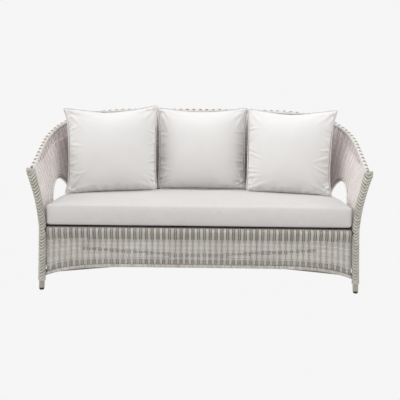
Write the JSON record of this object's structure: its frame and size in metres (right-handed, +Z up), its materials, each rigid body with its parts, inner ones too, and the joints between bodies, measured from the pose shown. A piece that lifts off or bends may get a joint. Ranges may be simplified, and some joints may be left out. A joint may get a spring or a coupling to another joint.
{
  "type": "garden sofa",
  "caption": "Tub-shaped woven garden sofa on a bent tube frame with arched arm openings, bowed stretchers, a seat cushion and loose back cushions.",
  "frame": {"origin": "on the floor, under the middle of the sofa", "axes": "+X to the right along the seat, +Y to the back, +Z up; the front faces -Y"},
  "size_m": [1.755, 0.8298, 0.9492],
  "materials": {
    "frame_paint": "satin taupe",
    "weave": "flat woven strand, whitewashed grey beige",
    "braid": "plaited strand",
    "webbing": "woven strap",
    "glide": "matt black",
    "cushion_cloth": "off-white outdoor cloth",
    "piping": "self-piped seam"
  },
  "bodies": {
    "frame": {"top_rail": "frame_paint", "front_leg_left": "frame_paint", "rear_leg_left": "frame_paint", "seat_rail_left": "frame_paint", "back_upright_left": "frame_paint", "arch_rod_left": "frame_paint", "apron_rail_left": "frame_paint", "front_strut_left": "frame_paint", "rear_strut_left": "frame_paint", "front_leg_right": "frame_paint", "rear_leg_right": "frame_paint", "seat_rail_right": "frame_paint", "back_upright_right": "frame_paint", "arch_rod_right": "frame_paint", "apron_rail_right": "frame_paint", "front_strut_right": "frame_paint", "rear_strut_right": "frame_paint", "seat_rail_front": "frame_paint", "seat_rail_rear": "frame_paint", "apron_rail_front": "frame_paint", "apron_rail_rear": "frame_paint", "stretcher_front": "frame_paint", "stretcher_rear": "frame_paint", "seat_bearer_1": "frame_paint", "seat_bearer_2": "frame_paint", "seat_bearer_3": "frame_paint", "seat_bearer_4": "frame_paint", "seat_bearer_5": "frame_paint", "front_leg_braid_left": "braid", "front_leg_braid_right": "braid", "arm_weave_left": "weave", "arm_weave_right": "weave", "back_weave_left": "weave", "back_weave_middle": "weave", "back_weave_right": "weave", "apron_weave_front": "weave", "apron_weave_left": "weave", "apron_weave_right": "weave", "apron_weave_rear": "weave", "glide_front_left": "glide", "glide_front_right": "glide", "glide_rear_left": "glide", "glide_rear_right": "glide", "seat_deck": "webbing", "stretcher_binding": "braid"},
    "seat_cushion": {"seat_cushion": "cushion_cloth"},
    "back_cushion_left": {"back_cushion_left": "cushion_cloth", "back_cushion_piping_left": "piping"},
    "back_cushion_middle": {"back_cushion_middle": "cushion_cloth", "back_cushion_piping_middle": "piping"},
    "back_cushion_right": {"back_cushion_right": "cushion_cloth", "back_cushion_piping_right": "piping"}
  },
  "joints": [
    {"name": "seat_cushion_pull", "type": "slide", "parent": "frame", "child": "seat_cushion", "axis": [0, -1, 0], "range_m": [0, 0.65]},
    {"name": "back_cushion_left_lift", "type": "slide", "parent": "frame", "child": "back_cushion_left", "axis": [0, 0, 1], "range_m": [0, 0.6]},
    {"name": "back_cushion_middle_lift", "type": "slide", "parent": "frame", "child": "back_cushion_middle", "axis": [0, 0, 1], "range_m": [0, 0.6]},
    {"name": "back_cushion_right_lift", "type": "slide", "parent": "frame", "child": "back_cushion_right", "axis": [0, 0, 1], "range_m": [0, 0.6]}
  ]
}
